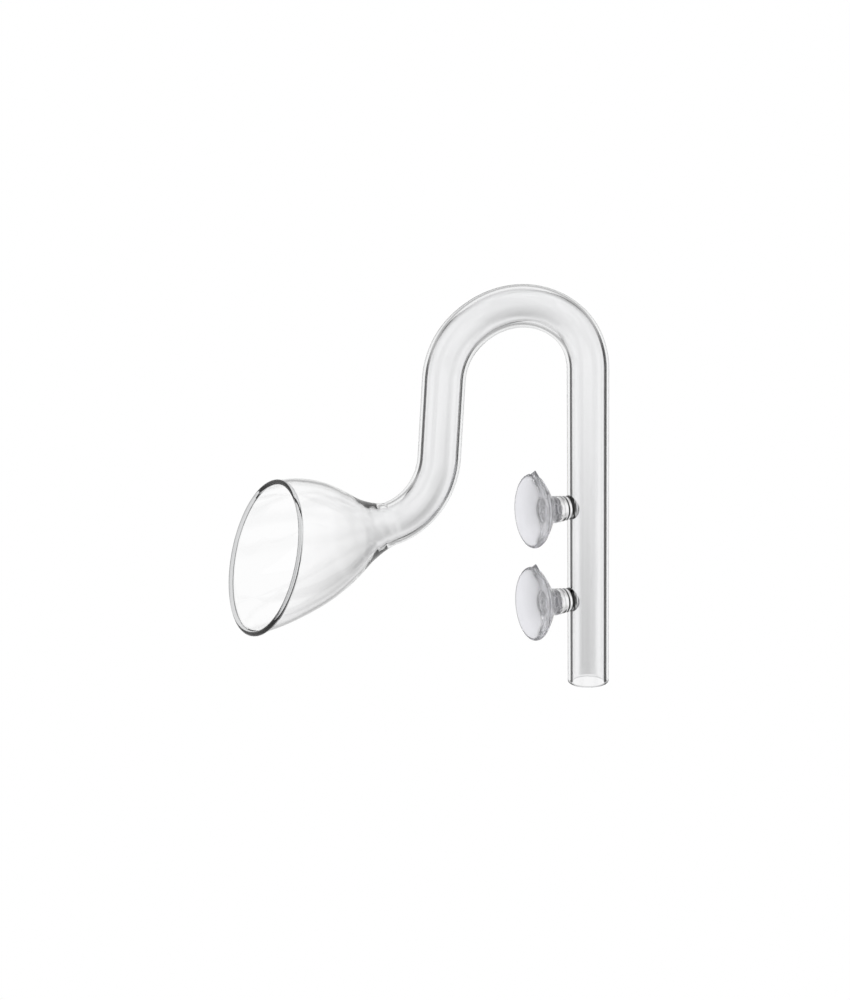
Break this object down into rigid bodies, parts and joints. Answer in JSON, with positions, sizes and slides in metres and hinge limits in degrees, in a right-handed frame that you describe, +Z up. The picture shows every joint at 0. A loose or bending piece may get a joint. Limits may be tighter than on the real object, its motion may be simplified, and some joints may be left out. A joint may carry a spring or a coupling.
{
  "type": "aquarium glass outflow pipe",
  "caption": "Clear glass lily pipe that hooks over an aquarium's rim, with a flared bell outlet and suction cups on ribbed glass studs.",
  "frame": {"origin": "centre of the hose leg's lower end", "axes": "+Z up along the hose leg. The pipe bends in the plane Y = 0. The inner leg, the bell and the suction cups' faces lie towards -X. The pipe is symmetric about Y = 0"},
  "size_m": [0.1223, 0.0464, 0.1288],
  "materials": {
    "clear_glass": "clear flame-polished borosilicate glass",
    "clear_pvc": "soft clear PVC with a faint blue-grey tint"
  },
  "bodies": {
    "glass_pipe": {"hose_spigot": "clear_glass", "hose_leg": "clear_glass", "rim_hook": "clear_glass", "drop_leg": "clear_glass", "outlet_elbow": "clear_glass", "bell_root": "clear_glass", "outlet_bell": "clear_glass", "upper_stud": "clear_glass", "lower_stud": "clear_glass"},
    "upper_cup": {"upper_suction_cup": "clear_pvc"},
    "lower_cup": {"lower_suction_cup": "clear_pvc"}
  },
  "joints": [
    {"name": "upper_cup_pull_off", "type": "slide", "parent": "glass_pipe", "child": "upper_cup", "axis": [-1, 0, 0], "range_m": [0, 0.006]},
    {"name": "lower_cup_pull_off", "type": "slide", "parent": "glass_pipe", "child": "lower_cup", "axis": [-1, 0, 0], "range_m": [0, 0.006]}
  ]
}
